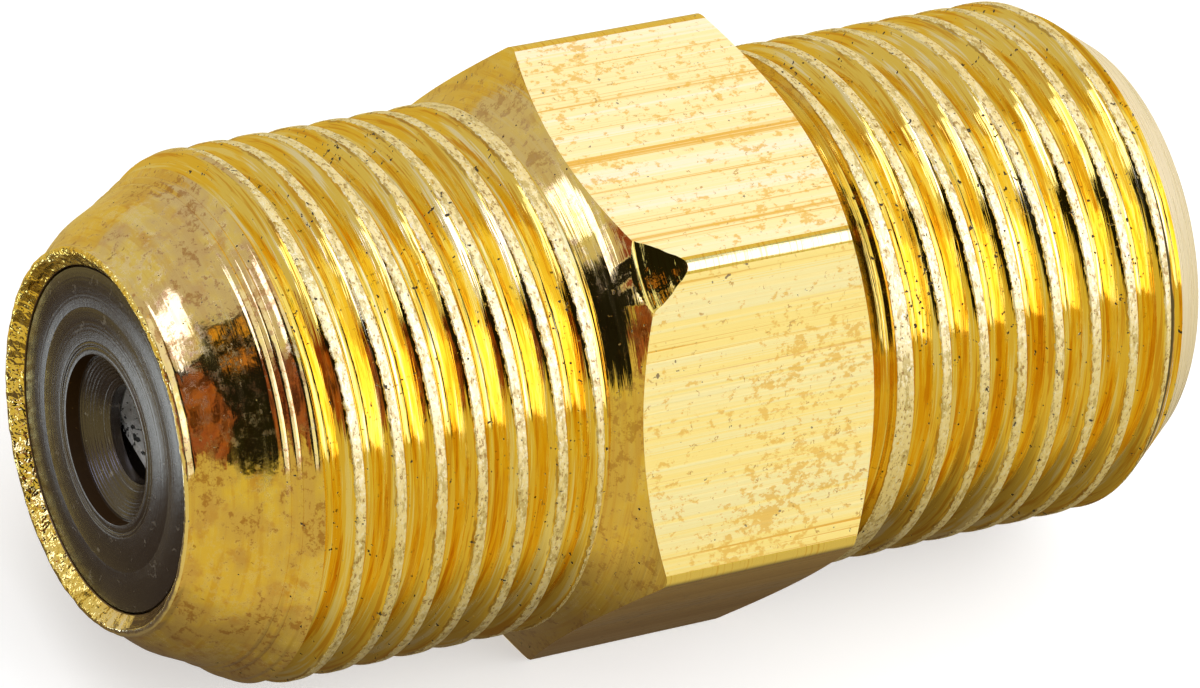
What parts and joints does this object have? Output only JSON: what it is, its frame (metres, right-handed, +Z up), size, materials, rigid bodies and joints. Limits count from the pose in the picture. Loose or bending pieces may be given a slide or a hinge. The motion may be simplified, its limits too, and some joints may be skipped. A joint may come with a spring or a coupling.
{
  "type": "f connector coupler",
  "caption": "Female to female coaxial coupler: a turned brass shell with a hexagon between two threaded ends, insulators and a sprung contact inside.",
  "frame": {"origin": "on the axis, halfway between the two ends", "axes": "+X along the axis, from the rolled rim to the machined end; +Z up, square to the hexagon's flat that it lies on"},
  "size_m": [0.0204, 0.0114, 0.01],
  "materials": {
    "gold_plated_brass": "bright gold plate over turned brass",
    "insulator_plastic": "satin moulded grey-brown plastic",
    "tinned_contact": "bright tin plate on a spring-copper strip"
  },
  "bodies": {
    "root": {"shell": "gold_plated_brass", "near_insulator": "insulator_plastic", "far_insulator": "insulator_plastic", "contact": "tinned_contact"}
  },
  "joints": []
}
